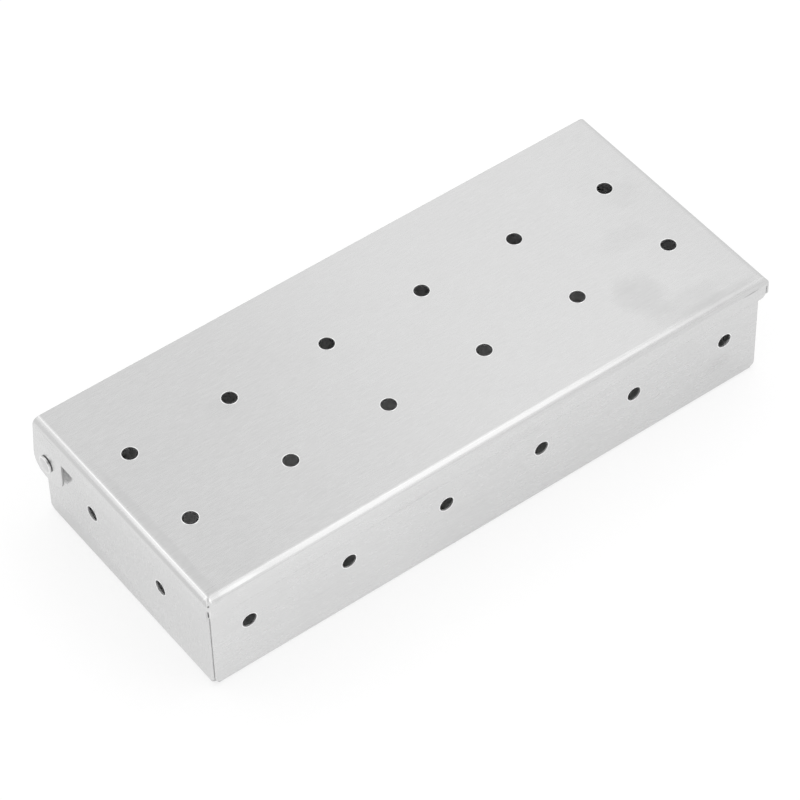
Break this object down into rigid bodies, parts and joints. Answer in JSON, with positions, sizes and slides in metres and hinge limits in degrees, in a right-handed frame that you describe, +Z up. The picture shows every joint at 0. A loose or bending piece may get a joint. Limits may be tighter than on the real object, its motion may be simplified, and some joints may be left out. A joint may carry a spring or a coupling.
{
  "type": "grill smoker box",
  "caption": "Folded steel box for wood chips on a grill, with smoke holes in its walls and a flanged, perforated lid that turns on rivets near its rear edge.",
  "frame": {"origin": "centre of the flat face under the tray's floor, on which the box stands", "axes": "+X along the box, +Y from the front wall to the hinge side, +Z up"},
  "size_m": [0.2134, 0.0918, 0.0411],
  "materials": {
    "tray_steel": "fine brushed stainless steel sheet, a little smudged",
    "lid_steel": "fine brushed stainless steel sheet, brighter along its folds",
    "rivet_steel": "bright stainless steel, smooth formed head",
    "washer_steel": "plain stainless steel"
  },
  "bodies": {
    "tray": {"tray": "tray_steel", "hinge_rivet_left": "rivet_steel", "hinge_rivet_right": "rivet_steel", "hinge_washer_left": "washer_steel", "hinge_washer_right": "washer_steel"},
    "lid": {"lid": "lid_steel"}
  },
  "joints": [
    {"name": "lid_hinge", "type": "hinge", "parent": "tray", "child": "lid", "pos_m": [0, 0.0392, 0.0261], "axis": [-1, 0, 0], "range_deg": [0, 138]}
  ]
}
